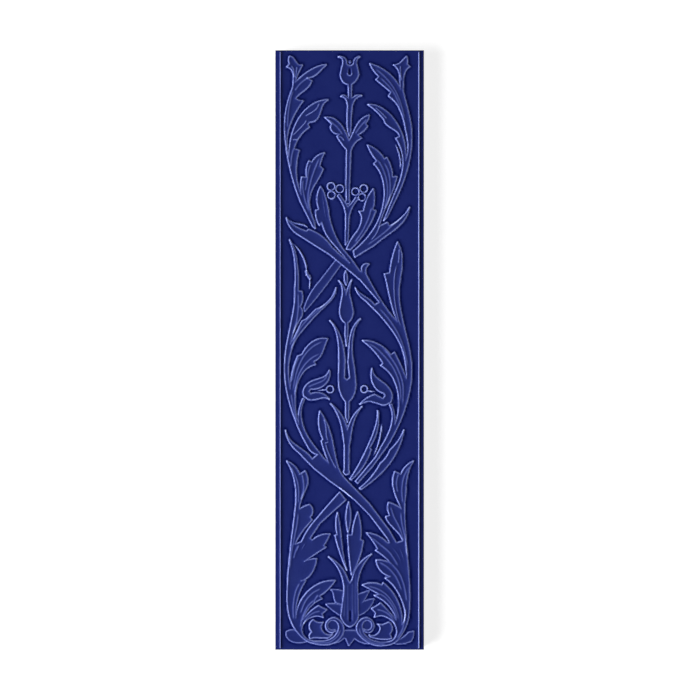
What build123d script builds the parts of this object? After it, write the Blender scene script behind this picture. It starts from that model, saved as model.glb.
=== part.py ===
from build123d import *

import os

# A tall wall tile of pressed porcelain with a moulded relief under its glaze: two leaf branches that
# cross twice, with a stalk of tulips, berries and buds between them, and a plain bead along each side.
# Millimetres. The tile lies on its back: X runs across it, Y up the ornament, Z out of the face.
# The origin is in the middle of the back.

# Blank
tile_width = 75.0
tile_length = 302.5
field_height = 8.6
arris_radius = 0.4
back_chamfer = 0.8

# Beads along the two sides
bead_width = 2.0
bead_height = 0.9
bead_inset = 2.55

# Key grooves in the back
groove_count = 5
groove_width = 6.0
groove_pitch = 11.0
groove_depth = 0.9
groove_end_land = 14.0

# Relief: the forms that lie behind others are the lowest, and the raised lines the highest
under_height = 0.35
pad_height = 0.6
rib_height = 0.9
rib_width = 0.8
ring_width = 0.7
relief_root = 1.0

# Plain field between the leaves and the tile's edges: the ornament is stretched to leave it
side_margin = 4.7
end_margin = 2.25

# In an outline, (x, y) is a corner and [x, y] is a point that the edge bows through on its way.
STALK = {
    "top tulip": [
        (-5.7, 147.8), [-3.6, 146.6], [-3.5, 143.9], [-4.6, 139.2], [-3.6, 135.6], (-0.7, 134.0),
        (-0.5, 128.1), (0.9, 128.1), (1.0, 134.0), [3.2, 136.0], [4.6, 139.0], [3.6, 143.8], [3.8, 146.5],
        (5.2, 147.8), [3.2, 147.3], (2.1, 145.0), [0.3, 143.4], (-1.5, 145.6), [-2.8, 147.5],
    ],
    "bract": [
        (-4.4, 127.9), [-2.8, 128.5], (-1.3, 127.3), (0.2, 126.9), (1.9, 127.4), [4.0, 128.5],
        (6.2, 128.3), [2.9, 126.5], [1.3, 122.5], [0.8, 114.0], (-0.2, 107.8), [-1.1, 112.5],
        [-1.1, 121.0], [-1.8, 126.4],
    ],
    "small leaf pair": [
        (-12.4, 117.3), [-7.0, 116.2], [-2.8, 111.3], (-0.2, 105.6), [2.1, 110.3], [4.8, 115.1],
        (9.9, 118.5), [9.3, 116.0], (8.0, 114.4), (9.1, 112.9), [7.0, 110.4], (4.2, 108.6), (6.0, 106.9),
        [2.4, 104.0], (0.5, 99.5), (-0.2, 75.6), [-0.8, 73.7], (-1.6, 75.6), (-1.8, 83.0), (-1.5, 101.0),
        [-4.4, 104.6], (-6.4, 107.7), (-4.8, 109.0), [-7.6, 109.4], (-9.7, 112.5), (-9.0, 113.9),
    ],
    "berry stalks": [
        (-6.2, 77.8), [-3.8, 74.4], (-2.0, 68.5), (-2.1, 53.0), (-0.7, 55.2), (-0.35, 66.5), [1.0, 71.2],
        (4.3, 76.2), (3.2, 77.2), [1.0, 74.0], (-0.8, 72.2), [-3.1, 75.6], (-5.0, 78.5),
    ],
    "upper bud": [(-1.9, 40.0), [-2.7, 36.5], (-1.7, 32.6), [-1.1, 36.5]],
    "small tulip": [
        (-5.9, 35.4), [-4.0, 32.3], [-3.7, 27.5], [-5.0, 20.3], [-4.1, 15.6], (-2.1, 13.6), (-2.3, 7.5),
        (-1.6, 1.6), (-1.0, 7.5), (-0.9, 13.8), [1.2, 16.3], [1.8, 19.8], [0.1, 27.5], [0.2, 32.0],
        (1.1, 35.4), [-0.4, 32.5], (-1.6, 27.6), [-3.0, 32.0],
    ],
    "tall tulip": [
        (-10.4, 15.3), [-7.0, 9.9], [-5.5, 0.5], [-5.4, -9.0], [-5.5, -17.5], [-4.3, -22.5], (-2.0, -26.0),
        (-1.9, -34.0), (-1.1, -36.6), (-0.4, -34.0), (-0.3, -26.0), [2.4, -22.0], [3.2, -17.5],
        [1.6, -4.0], [1.6, 6.0], [2.9, 11.6], (5.7, 16.0), [1.3, 10.3], [-0.3, 1.5], (-0.8, -6.0),
        (0.1, -14.0), (-1.3, -15.2), (-2.6, -14.0), (-2.3, -5.0), [-3.2, 1.8], [-5.8, 9.4],
    ],
    "long leaf pair": [
        (-9.7, -26.9), [-6.0, -32.6], [-3.6, -41.0], (-2.6, -49.0), (-2.7, -60.5), [-1.4, -62.8],
        (-0.4, -60.5), (-0.2, -49.0), [1.0, -41.0], [3.2, -33.2], (6.6, -28.2), [1.6, -33.7],
        (-1.0, -40.4), [-4.3, -32.4],
    ],
    "lower bud": [(-0.5, -76.5), [-1.6, -81.5], (-0.8, -92.0), [0.5, -82.0]],
    "left bud leaf": [
        (-6.1, -81.8), [-6.9, -88.0], (-6.2, -93.1), (-7.4, -93.5), [-5.0, -101.8], (-1.3, -111.4),
        [-3.4, -102.0], [-4.7, -90.0],
    ],
    "right bud leaf": [
        (4.1, -81.7), [5.6, -88.0], (5.5, -95.6), (6.9, -96.2), [5.4, -103.5], (0.9, -113.4),
        [0.0, -106.0], (-1.0, -93.3), (1.3, -93.2), [1.9, -88.5],
    ],
    "calyx": [
        (-10.7, -104.3), [-5.9, -109.8], [-3.2, -117.0], (-3.1, -124.0), (-4.4, -134.3), [-3.2, -137.0],
        [0.0, -139.5], [3.3, -137.2], (4.4, -134.5), (4.2, -122.5), [5.0, -113.0], (11.1, -102.9),
        [5.4, -107.2], (1.3, -115.6), (0.2, -117.6), (-0.8, -115.8), [-3.6, -110.2],
    ],
}

UPPER_BRANCHES = {
    "left branch": [
        (-31.8, 142.8), [-29.1, 141.0], [-28.3, 136.5], (-28.7, 132.3), [-31.2, 125.0], [-32.7, 116.0],
        [-32.5, 106.5], [-30.9, 95.5], [-28.2, 84.5], (-24.7, 74.5), (-18.6, 62.3), (-17.2, 61.3),
        (-17.9, 65.0), [-19.9, 71.5], [-19.6, 79.0], [-17.2, 83.9], (-13.3, 91.3), (-15.0, 92.8),
        [-14.2, 96.0], (-12.7, 99.5), [-16.3, 97.9], (-19.0, 94.7), (-20.5, 95.4), [-21.8, 91.5],
        (-21.7, 87.0), (-24.2, 87.3), [-24.7, 83.5], (-24.2, 78.2), [-26.5, 85.5], [-26.9, 92.0],
        (-25.4, 100.7), (-28.0, 101.5), [-26.2, 106.0], (-20.3, 112.4), (-21.0, 113.9), (-20.2, 114.9),
        [-15.8, 117.3], [-14.3, 121.3], (-10.8, 126.2), [-17.5, 124.6], [-24.3, 118.8], [-28.6, 110.5],
        (-30.6, 97.0), [-31.6, 105.5], [-30.2, 113.0], [-27.2, 119.8], (-23.3, 125.8), [-25.1, 125.8],
        (-27.2, 126.9), [-24.4, 129.7], [-21.4, 132.1], (-19.1, 135.8), (-21.4, 137.2), [-17.3, 138.6],
        [-14.6, 141.0], (-11.7, 144.0), [-17.0, 142.6], [-23.0, 139.0], (-27.5, 134.9), [-26.4, 138.3],
        [-25.2, 141.0], (-23.7, 143.7), [-26.2, 144.3], [-27.9, 146.7], (-30.3, 148.2), [-30.8, 146.4],
        (-30.2, 144.2),
    ],
    "right branch": [
        (22.0, 143.9), [23.7, 144.0], [25.3, 144.7], [27.2, 146.6], (28.9, 148.1), [29.2, 145.8],
        (29.1, 144.2),
        (30.4, 142.9), [28.4, 141.0], [27.2, 136.5], (26.9, 131.5), [28.3, 125.5], [30.9, 114.5],
        [31.3, 104.5], [29.5, 92.5], [26.2, 82.5], (21.5, 72.3), (18.9, 66.9), (17.2, 65.3),
        [18.6, 68.5], (20.0, 72.3), [24.2, 82.3], [26.8, 91.5], [26.6, 98.5], (23.3, 106.8), (25.3, 107.7),
        [22.6, 111.0], [18.6, 113.7], (17.3, 116.2), [14.0, 119.9], (9.1, 123.9), [15.3, 122.6],
        [22.3, 116.7], [26.6, 108.7], (28.3, 95.5), [29.5, 102.5], [28.2, 111.3], [24.6, 122.8],
        (19.6, 128.1), (20.9, 130.0), [16.6, 133.6], (13.3, 136.4), (14.8, 137.9), [12.1, 140.9],
        (10.2, 144.4), [15.5, 142.4], [21.8, 137.6], (25.9, 131.6), [25.4, 136.0], [24.7, 140.7],
        [23.5, 142.6],
    ],
    "right inner branch": [
        (9.0, 103.4), [13.6, 101.0], (17.6, 96.3), (18.8, 97.0), [20.9, 92.3], (21.6, 87.2), (23.9, 87.6),
        [22.3, 81.8], [18.6, 72.8], (14.9, 62.4), (19.3, 64.4), (20.0, 62.5), [25.2, 65.8], (30.3, 72.0),
        [26.5, 64.2], [20.8, 59.2], (12.5, 52.9), (2.6, 46.8), (1.9, 49.9), [9.0, 56.8], [13.8, 64.0],
        [16.9, 73.0], [17.4, 82.0], [15.0, 90.3], (12.2, 93.9), (13.7, 95.4), [11.0, 99.2],
    ],
    "right inner leaf": [
        (12.0, 81.3), [12.6, 76.3], (11.7, 70.8), (13.3, 70.2), [10.3, 63.4], [4.8, 55.3], (0.4, 50.6),
        (-1.6, 50.9), [3.3, 59.3], [6.1, 66.8], (4.8, 69.9), (7.1, 70.2), [9.3, 77.3],
    ],
}

MIDDLE_BRANCHES = {
    "right branch": [
        (-31.9, 66.7), [-31.1, 64.0], [-29.0, 60.7], (-26.0, 58.2), (-10.0, 48.1), (-2.0, 41.5), (5.3, 35.4),
        (15.2, 24.0), (13.9, 23.5), (12.8, 22.6), [9.0, 26.2], [5.4, 28.6], (2.8, 31.5), [4.1, 28.7],
        (8.0, 24.9), (15.0, 17.9), [20.8, 10.8], [25.4, 3.3], [28.0, -5.5], (28.7, -14.5), [26.7, -9.5],
        (22.7, -1.1), (20.8, -2.4), [15.5, 2.5], (6.4, 4.8), [11.0, 0.9], (16.9, -6.7), (15.7, -7.8),
        [21.6, -13.6], [24.7, -24.0], [24.4, -32.0], (22.9, -37.5), [22.6, -32.5], (21.2, -27.3),
        (20.1, -27.5), [21.6, -33.5], [20.0, -41.0], (16.0, -48.6), (13.3, -53.8), (3.0, -66.2), (4.0, -67.2),
        (11.5, -58.8), (18.8, -48.8), [24.0, -39.5], [28.6, -27.5], [31.0, -16.5], [31.2, -6.5],
        [29.2, 5.0], [25.6, 21.0], (24.9, 30.5), [26.0, 38.5], [26.4, 47.5], (24.2, 54.4), [20.9, 43.5],
        (20.3, 38.9), (17.6, 38.3), [19.2, 31.5], [21.2, 22.8], (24.2, 14.2), [19.0, 20.4], [12.5, 30.6],
        (8.3, 38.3), [8.3, 41.0], (9.9, 43.3), [7.3, 43.2], (6.5, 39.4), (5.2, 39.8), (0.8, 46.0),
        (-3.1, 50.7), [-6.5, 56.3], [-10.4, 68.0], [-13.0, 79.8], (-14.7, 82.5), [-16.3, 78.0],
        (-15.5, 71.0), (-17.1, 70.3), [-16.8, 66.5], (-15.3, 62.9), (-14.0, 64.5), [-12.6, 60.0],
        (-8.3, 53.7), (0.4, 43.6), (-4.5, 47.7), (-9.0, 52.0), [-14.0, 57.4], (-20.7, 60.9), (-21.6, 59.9),
        [-26.0, 61.7], [-28.8, 63.5],
    ],
    "left branch": [
        (-30.3, 55.6), [-28.9, 51.5], [-27.6, 44.5], (-27.6, 31.0), [-28.4, 19.5], [-31.6, 3.5],
        [-32.8, -7.5], [-32.0, -19.0], [-28.8, -31.5], (-23.6, -44.2), (-20.7, -49.4), [-18.6, -51.7],
        (-15.9, -52.7), (-17.2, -53.6), (-18.7, -55.0), [-22.0, -51.5], [-27.0, -47.9], (-32.4, -40.3),
        [-31.5, -44.0], (-26.0, -51.4), (-18.0, -59.6), (-10.0, -66.0), (-3.9, -70.3), (2.5, -75.5),
        (10.0, -83.0), (18.9, -94.7), (21.2, -99.2), (24.3, -98.4), (20.0, -90.9), (10.0, -77.5),
        (-1.0, -66.2), [-6.2, -57.6], [-8.4, -46.6], [-10.8, -38.3], (-15.0, -30.8), [-15.6, -37.0],
        (-13.4, -45.0), (-14.3, -45.9), [-13.0, -50.2], (-10.5, -57.0), (-13.0, -54.5), (-18.2, -47.8),
        [-22.6, -40.5], [-24.5, -32.0], (-22.8, -24.9), (-23.6, -24.5), [-25.1, -28.6], (-25.5, -37.6),
        [-27.2, -30.5], [-26.9, -19.5], [-23.4, -11.2], (-17.1, -7.2), (-18.1, -5.7), [-14.6, -2.9],
        [-12.9, 0.9], (-11.0, 5.7), [-17.6, 4.8], [-21.3, 1.9], (-23.9, -2.2), (-26.2, -3.1),
        [-28.9, -11.0], (-29.8, -19.8), [-30.8, -9.0], [-28.9, 1.3], (-25.0, 8.5), (-18.0, 16.6),
        (-10.2, 24.3), [-8.0, 27.0], (-6.8, 31.6), [-8.9, 26.8], (-17.0, 20.5), (-21.8, 15.7),
        (-24.0, 14.6), [-26.8, 8.7], (-29.8, 3.0), [-28.1, 9.4], (-24.6, 16.2), [-23.7, 18.6],
        (-24.9, 21.9), [-23.7, 25.2], (-24.0, 29.5), (-25.8, 29.8), (-25.8, 37.5), [-26.5, 44.0],
        [-27.8, 50.6],
    ],
    "right inner leaf": [
        (14.2, -30.3), [14.6, -36.0], [12.9, -44.0], (10.0, -49.3), (10.9, -50.1), [8.3, -56.4],
        (0.9, -65.4), (0.2, -65.1), [4.4, -58.2], [10.2, -46.2], [13.5, -37.0],
    ],
    "right outer leaf": [
        (27.4, -40.2), [25.0, -45.0], (20.3, -50.5), [18.3, -54.3], (15.5, -57.2), [11.6, -63.2],
        (4.9, -69.8), (5.9, -70.2), [13.0, -64.8], [19.3, -58.4], [25.7, -47.0],
    ],
    "left bell flower": [
        (-10.2, -10.1), [-13.4, -13.7], [-18.5, -15.4], [-22.3, -18.2], (-23.1, -23.3), (-22.3, -23.7),
        [-19.3, -25.2], [-14.0, -24.1], (-10.2, -24.9), [-13.6, -22.0], (-19.6, -22.1), (-20.5, -20.9),
        (-19.6, -19.6), [-14.8, -18.9], [-11.2, -15.9],
    ],
    "right bell flower": [
        (11.3, -9.1), [13.2, -13.4], [17.5, -16.8], [20.6, -20.2], (20.7, -26.3), (19.7, -26.8),
        [16.2, -27.6], [10.4, -25.8], [7.5, -26.3], (5.1, -27.4), [9.4, -23.8], (12.8, -22.4),
        (16.9, -24.5), (18.0, -23.0), (17.2, -21.7), [13.8, -20.0], [10.9, -13.2],
    ],
}

LOWER_BRANCHES = {
    "left acanthus": [
        (-31.8, -56.0), [-29.0, -61.5], [-27.2, -69.5], (-27.0, -77.0), [-28.6, -90.0], [-30.8, -110.0],
        (-31.5, -123.0), [-31.0, -131.5], [-28.4, -139.3], [-24.9, -143.9], [-21.0, -147.0],
        [-17.0, -148.2], [-12.0, -148.6], [-7.4, -147.4], [-3.9, -144.0], [-2.9, -140.5], [-4.4, -136.9],
        [-7.8, -135.0], [-11.2, -136.6], [-12.1, -139.0], [-11.0, -141.6], [-9.0, -142.4], (-7.2, -141.2),
        [-8.8, -141.3], [-10.6, -140.4], [-11.0, -138.2], [-9.4, -136.4], [-7.3, -136.5], [-5.5, -139.3],
        [-6.2, -142.4], [-9.3, -145.6], [-14.0, -146.8], (-20.3, -146.3), [-23.2, -143.9],
        [-24.1, -140.8], [-22.4, -136.9], [-18.0, -134.3], (-13.3, -134.9), (-13.9, -133.0), (-11.5, -130.9),
        [-13.6, -130.0], (-15.7, -128.9), [-19.5, -131.6], (-23.4, -136.0), [-21.2, -131.2],
        (-13.9, -125.4), (-15.2, -124.0), [-11.5, -121.3], (-7.3, -116.3), [-15.5, -117.8],
        [-22.6, -123.4], (-27.0, -136.0), [-26.8, -128.5], (-22.0, -116.1), (-24.8, -116.4),
        [-20.0, -113.6], [-17.8, -110.0], (-16.6, -105.2), [-20.0, -105.6], (-22.9, -106.6),
        [-18.0, -103.3], (-12.0, -99.4), (-13.0, -98.6), [-11.3, -95.8], (-9.9, -92.7), [-15.5, -93.7],
        (-18.8, -95.9), (-19.9, -94.9), (-15.0, -87.4), (-6.0, -79.2), (-1.9, -75.6), (-5.0, -71.7),
        (-11.0, -78.4), (-17.5, -86.0), [-21.5, -91.4], (-24.3, -96.7), (-27.6, -98.0), [-24.6, -92.6],
        (-18.8, -85.6), (-19.9, -84.2), [-18.6, -80.5], (-20.2, -77.9), [-22.4, -78.6], (-25.3, -80.3),
        [-24.6, -76.2], [-21.8, -69.5], (-22.4, -61.0), (-25.1, -62.7), [-27.6, -58.6],
    ],
    "right acanthus": [
        (32.3, -56.0), [30.0, -60.5], [28.6, -68.0], (27.8, -78.0), [28.1, -89.0], [29.2, -104.0],
        (30.3, -119.0), [30.3, -130.0], [29.0, -138.0], [26.0, -143.9], [22.6, -147.6], [17.5, -149.0],
        [13.0, -148.9], [8.6, -147.0], [4.4, -143.0], [3.5, -139.8], [5.2, -136.4], [8.3, -135.0],
        [11.4, -136.5], [12.3, -139.2], [11.0, -141.9], [9.0, -142.5], (7.2, -140.6), [8.9, -141.4],
        [10.7, -140.5], [11.2, -138.4], [9.8, -136.4], [7.6, -136.6], [6.4, -139.5], [7.3, -142.8],
        [10.5, -145.9], [15.0, -147.3], (20.4, -147.0), [23.0, -144.9], [23.8, -141.6], [22.4, -137.8],
        [17.5, -134.2], (12.5, -134.8), (13.2, -132.6), (11.0, -130.3), [13.4, -129.1], (15.6, -127.5),
        [19.0, -131.0], (23.6, -136.2), [20.3, -129.6], (12.5, -123.8), (15.0, -123.2), [11.5, -121.2],
        (6.4, -118.5), [11.0, -117.4], (16.3, -118.5), (17.0, -117.3), [22.3, -123.0], [25.5, -129.8],
        (26.5, -138.5), [28.0, -133.5], [26.4, -126.4], [22.3, -119.0], (17.9, -115.0), (20.6, -114.1),
        [16.6, -112.2], (13.4, -105.8), [16.5, -106.0], (21.0, -107.6), [17.5, -104.2], (13.1, -101.0),
        (14.2, -100.2), [11.3, -95.7], (8.5, -92.2), [13.8, -93.4], (19.2, -97.3), (24.4, -97.0),
        (26.8, -96.3), [24.2, -91.8], [20.0, -87.4], (18.2, -84.1), (20.3, -83.4), [19.2, -80.0],
        (19.6, -76.8), [22.3, -77.7], (26.2, -80.1), [24.0, -75.4], [21.9, -68.5], (22.8, -61.2),
        (25.9, -62.7), [27.6, -59.5],
    ],
    "left scroll leaf": [
        (-18.3, -136.0), [-15.6, -137.4], (-13.2, -137.3), [-14.3, -140.0], [-12.0, -143.2], (-8.6, -143.4),
        [-11.5, -145.1], [-15.5, -145.0], (-19.9, -145.6), [-20.3, -144.2], (-18.9, -142.2), [-20.3, -139.4],
    ],
    "right scroll leaf": [
        (14.0, -138.2), (16.4, -138.6), (19.9, -137.2), [21.5, -140.5], (20.4, -143.0), (21.2, -145.4),
        [16.5, -145.8], (10.2, -144.5), (9.9, -143.6), [14.0, -143.1], [15.4, -140.6],
    ],
}

# Forms that lie behind the leaves, drawn on under what covers them
UNDERLEAVES = {
    "left band": [
        (-6.2, 46.2), (-15.0, 34.8), [-19.6, 28.6], (-22.8, 21.3), (-22.6, 19.5), [-17.5, 25.6],
        (-10.0, 35.3), (-3.6, 44.2),
    ],
    "left upper leaflet": [
        (-9.5, -120.8), [-6.8, -120.9], (-2.2, -122.0), (-2.2, -128.8), (-5.2, -127.8), [-7.4, -126.4],
        [-8.0, -123.6],
    ],
    "left lower leaflet": [
        (-11.9, -128.3), [-8.5, -128.0], (-2.4, -129.6), (-2.6, -134.4), (-5.6, -133.3), [-8.8, -131.0],
    ],
    "right upper leaflet": [
        (9.7, -121.4), [8.1, -124.8], (5.4, -128.3), (3.0, -129.0), (3.0, -123.6), (5.7, -122.8),
    ],
    "right lower leaflet": [
        (12.3, -125.5), [10.4, -129.4], (5.6, -133.4), (3.0, -134.4), (3.0, -129.8), [7.4, -126.8],
    ],
    "left volute eye": [(-11.5, -139.0), [-8.4, -135.8], (-4.6, -139.0), [-8.4, -142.0]],
    "right volute eye": [(11.7, -139.2), [8.8, -135.7], (5.2, -139.2), [8.8, -142.1]],
    "pendant": [
        (-2.4, -141.5), (2.6, -141.5), (7.0, -144.4), (11.8, -147.8), [6.6, -147.6], (2.5, -145.3),
        (-0.4, -149.0), (-1.9, -145.5), (-2.7, -145.1), [-6.2, -147.3], (-11.0, -147.8), (-5.6, -144.2),
    ],
    "left corner fan": [
        (-32.0, -142.2), [-30.6, -141.5], (-29.0, -141.2), (-25.4, -142.0), (-20.8, -146.6),
        [-26.5, -147.5], [-30.6, -146.0],
    ],
    "right corner fan": [
        (32.3, -142.0), (29.8, -142.4), [27.0, -145.0], (22.4, -147.2), (21.4, -147.7), [27.0, -148.0],
        (31.0, -146.7), [32.0, -144.6],
    ],
}

# Small forms that stand a step higher than the leaves
BOSSES = {
    "stigma": [(-0.6, 145.3), [0.2, 146.1], (1.0, 145.3), [0.2, 144.5]],
    "left pistil": [(-16.3, -20.3), (-11.6, -19.5), (-11.6, -20.5)],
    "right pistil": [(8.9, -20.0), (13.5, -21.2), (8.9, -20.9)],
}

# Raised lines, drawn along their middle: tendrils beside the stems, then the veins of the leaves
TENDRILS = [
    [(-30.2, 65.9), (-27.3, 63.9), (-23.0, 63.0), (-21.0, 61.4)],
    [(-28.9, 54.2), (-24.6, 49.0), (-22.0, 42.5), (-21.8, 37.5)],
    [(-20.2, 37.8), (-20.0, 34.5), (-20.4, 30.6)],
    [(16.0, -37.2), (15.2, -44.8), (12.0, -53.4)],
    [(23.0, 103.8), (25.3, 97.5), (25.5, 91.0)],
]
VEINS = [
    [(0.3, 143.0), (-0.9, 140.5), (0.3, 138.0)],
    [(-0.1, 143.0), (1.1, 140.5), (-0.1, 138.0)],
    [(-14.0, 80.3), (-13.0, 72.5), (-11.6, 64.3)],
    [(-21.5, -96.6), (-23.3, -99.0), (-24.4, -101.5)],
    [(-25.2, -98.4), (-26.2, -100.4), (-27.0, -102.6)],
    [(24.6, -98.8), (26.3, -102.5), (27.7, -107.5)],
    [(20.5, -98.7), (24.0, -102.8), (26.3, -109.0)],
]

# Berries and pistil heads: the middle and the radius of each ring
RINGS = [
    (-9.3, 82.5, 1.9), (-4.9, 81.3, 1.95), (-9.1, 78.2, 1.85),
    (3.0, 79.9, 1.85), (7.2, 81.4, 1.9), (6.3, 77.1, 1.8),
    (-9.8, -19.8, 1.75), (7.4, -19.7, 1.7),
]

LEAFWORK = [STALK, UPPER_BRANCHES, MIDDLE_BRANCHES, LOWER_BRANCHES]


def drawn_reach(axis):
    """How far from its middle the ornament is drawn, across (0) or up (1)."""
    outlines = [outline for group in [*LEAFWORK, UNDERLEAVES] for outline in group.values()]
    return max(abs(point[axis]) for outline in outlines for point in outline)


across_scale = (tile_width / 2 - side_margin) / drawn_reach(0)
up_scale = (tile_length / 2 - end_margin) / drawn_reach(1)


def on_face(point):
    """Place a point of the drawing on the face."""
    return (point[0] * across_scale, point[1] * up_scale)


def edges_through(points):
    """Join the first point to the last through those between, by a line or by arcs along one smooth curve."""
    if len(points) == 2:
        return [Line(*points)]
    if len(points) == 3:
        return [ThreePointArc(*points)]
    curve = Spline(*points)
    places = [curve.param_at_point(point) for point in points]
    spans = zip(points, places, points[1:], places[1:])
    return [ThreePointArc(start, curve @ ((a + b) / 2), end) for start, a, end, b in spans]


def closed_outline(points):
    """Close an outline of corners and bows into a face on the ground plane."""
    edges = []
    stretch = [on_face(points[0])]
    for point in points[1:] + points[:1]:
        stretch.append(on_face(point))
        if isinstance(point, tuple):
            edges += edges_through(stretch)
            stretch = [on_face(point)]
    face = Face(Wire(edges))
    return face if face.normal_at().Z > 0 else -face


def raised(face, height):
    """Stand a flat shape on the field, sunk in by the relief's root."""
    base = face.moved(Location((0, 0, field_height - relief_root)))
    return Solid.extrude(base, Vector(0, 0, relief_root + height))


def rib_outline(points):
    """Widen a raised line into an outline that is pointed at both ends."""
    left, right = [], []
    for before, here, after in zip(points, points[1:], points[2:]):
        along = (Vector(*after) - Vector(*before)).normalized()
        across = along.rotate(Axis.Z, 90) * (rib_width / 2)
        left.append([here[0] + across.X, here[1] + across.Y])
        right.append([here[0] - across.X, here[1] - across.Y])
    return [points[0], *left, points[-1], *reversed(right)]


def ring(x, y, radius):
    """A raised ring, such as a berry's rim."""
    outer = Face(Wire.make_circle(radius + ring_width / 2))
    inner = Face(Wire.make_circle(radius - ring_width / 2))
    return raised((outer - inner).face().moved(Location((*on_face((x, y)), 0))), rib_height)


def blank():
    """The plain tile: a flat field, a rounded arris all round the face and a chamfered back."""
    slab = Pos(0, 0, field_height / 2) * Box(tile_width, tile_length, field_height)
    slab = fillet(slab.faces().sort_by(Axis.Z)[-1].edges(), arris_radius)
    return chamfer(slab.faces().sort_by(Axis.Z)[0].edges(), back_chamfer)


def beads():
    """The half-round bead along each long side, ending where the arris begins."""
    half = bead_width / 2
    crown = ThreePointArc((-half, 0), (0, bead_height), (half, 0))
    root = Polyline((half, 0), (half, -relief_root), (-half, -relief_root), (-half, 0))
    section = Plane.XZ * make_face([crown, root])
    bead = extrude(section, amount=tile_length / 2 - arris_radius, both=True)
    offset = tile_width / 2 - bead_inset
    return [Pos(side * offset, 0, field_height) * bead for side in (-1, 1)]


def key_grooves():
    """The long shallow pockets in the back that key the tile to its bed."""
    slot = SlotOverall(tile_length - 2 * groove_end_land, groove_width, rotation=90)
    middle = (groove_count - 1) / 2
    return [Pos((n - middle) * groove_pitch, 0, 0) * extrude(slot, groove_depth) for n in range(groove_count)]


def ornament():
    """The leaves, stems and flowers of the relief, with the finer forms that stand higher."""
    under = [raised(closed_outline(points), under_height) for points in UNDERLEAVES.values()]
    leaves = [raised(closed_outline(points), pad_height) for group in LEAFWORK for points in group.values()]
    fine = list(BOSSES.values()) + [rib_outline(line) for line in TENDRILS + VEINS]
    high = [raised(closed_outline(points), rib_height) for points in fine]
    return under + leaves + high + [ring(*place) for place in RINGS]


def main():
    tile = blank().fuse(*beads(), *ornament())
    tile = tile.cut(*key_grooves())
    os.makedirs("parts", exist_ok=True)
    export_step(tile, "parts/tile.step")


if __name__ == "__main__":
    main()
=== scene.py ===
"""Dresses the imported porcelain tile: its glazed relief, rounded arris, biscuit sides and keyed back."""

from __future__ import annotations

import logging
import math
from dataclasses import dataclass
from enum import Enum
from typing import Any

import bmesh
import bpy
import numpy as np
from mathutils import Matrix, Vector
from mathutils.geometry import interpolate_bezier

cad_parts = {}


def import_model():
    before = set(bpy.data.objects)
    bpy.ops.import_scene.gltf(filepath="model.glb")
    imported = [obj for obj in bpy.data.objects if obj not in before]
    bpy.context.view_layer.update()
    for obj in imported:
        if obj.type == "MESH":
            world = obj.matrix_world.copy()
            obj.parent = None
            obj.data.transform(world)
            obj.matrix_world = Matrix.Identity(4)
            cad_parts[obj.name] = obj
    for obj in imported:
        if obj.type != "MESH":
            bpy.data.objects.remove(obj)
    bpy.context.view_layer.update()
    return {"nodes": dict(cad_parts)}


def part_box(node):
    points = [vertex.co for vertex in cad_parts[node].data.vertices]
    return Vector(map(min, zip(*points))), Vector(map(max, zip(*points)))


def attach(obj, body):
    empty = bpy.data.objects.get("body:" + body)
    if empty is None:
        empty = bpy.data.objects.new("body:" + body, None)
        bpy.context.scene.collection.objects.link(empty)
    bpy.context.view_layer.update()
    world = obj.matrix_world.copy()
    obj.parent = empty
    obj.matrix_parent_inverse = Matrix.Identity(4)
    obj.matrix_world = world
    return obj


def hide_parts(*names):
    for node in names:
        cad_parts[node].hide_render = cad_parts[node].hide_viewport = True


LOG = logging.getLogger("tile")
MM = 0.001
NODE = "tile"
BODY = "root"
DEPTH = "glaze_depth"

Colour = tuple[float, float, float, float]
Stop = tuple[float, Colour]
Line = list[tuple[float, float]]


def srgb(red: int, green: int, blue: int) -> Colour:
    """Turn a colour as a screen shows it, 0 to 255, into the linear one that a shader takes.

    Args:
        red: The red part.
        green: The green part.
        blue: The blue part.

    Returns:
        The linear colour, opaque.
    """
    parts = []
    for part in (red, green, blue):
        share = part / 255
        parts.append(share / 12.92 if share <= 0.04045 else ((share + 0.055) / 1.055) ** 2.4)
    return (parts[0], parts[1], parts[2], 1.0)


def ease(share: np.ndarray) -> np.ndarray:
    """A smooth step from 0 to 1."""
    held = np.clip(share, 0, 1)
    return held * held * (3 - 2 * held)


def smooth_line(points: Line, step: float) -> np.ndarray:
    """Lay a smooth line through some points.

    Args:
        points: The points, in order.
        step: About how far apart the places along the line are.

    Returns:
        The places along the line.
    """
    knots = [Vector(point) for point in points]
    pulls = [(after - before) / 6 for before, after in zip(knots[:1] + knots, knots[1:] + knots[-1:])]
    places = []
    for n, (start, end) in enumerate(zip(knots, knots[1:])):
        count = math.ceil((end - start).length / step) + 1
        places += interpolate_bezier(start, start + pulls[n], end - pulls[n + 1], end, count)
    return np.array([place[:2] for place in places])


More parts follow.
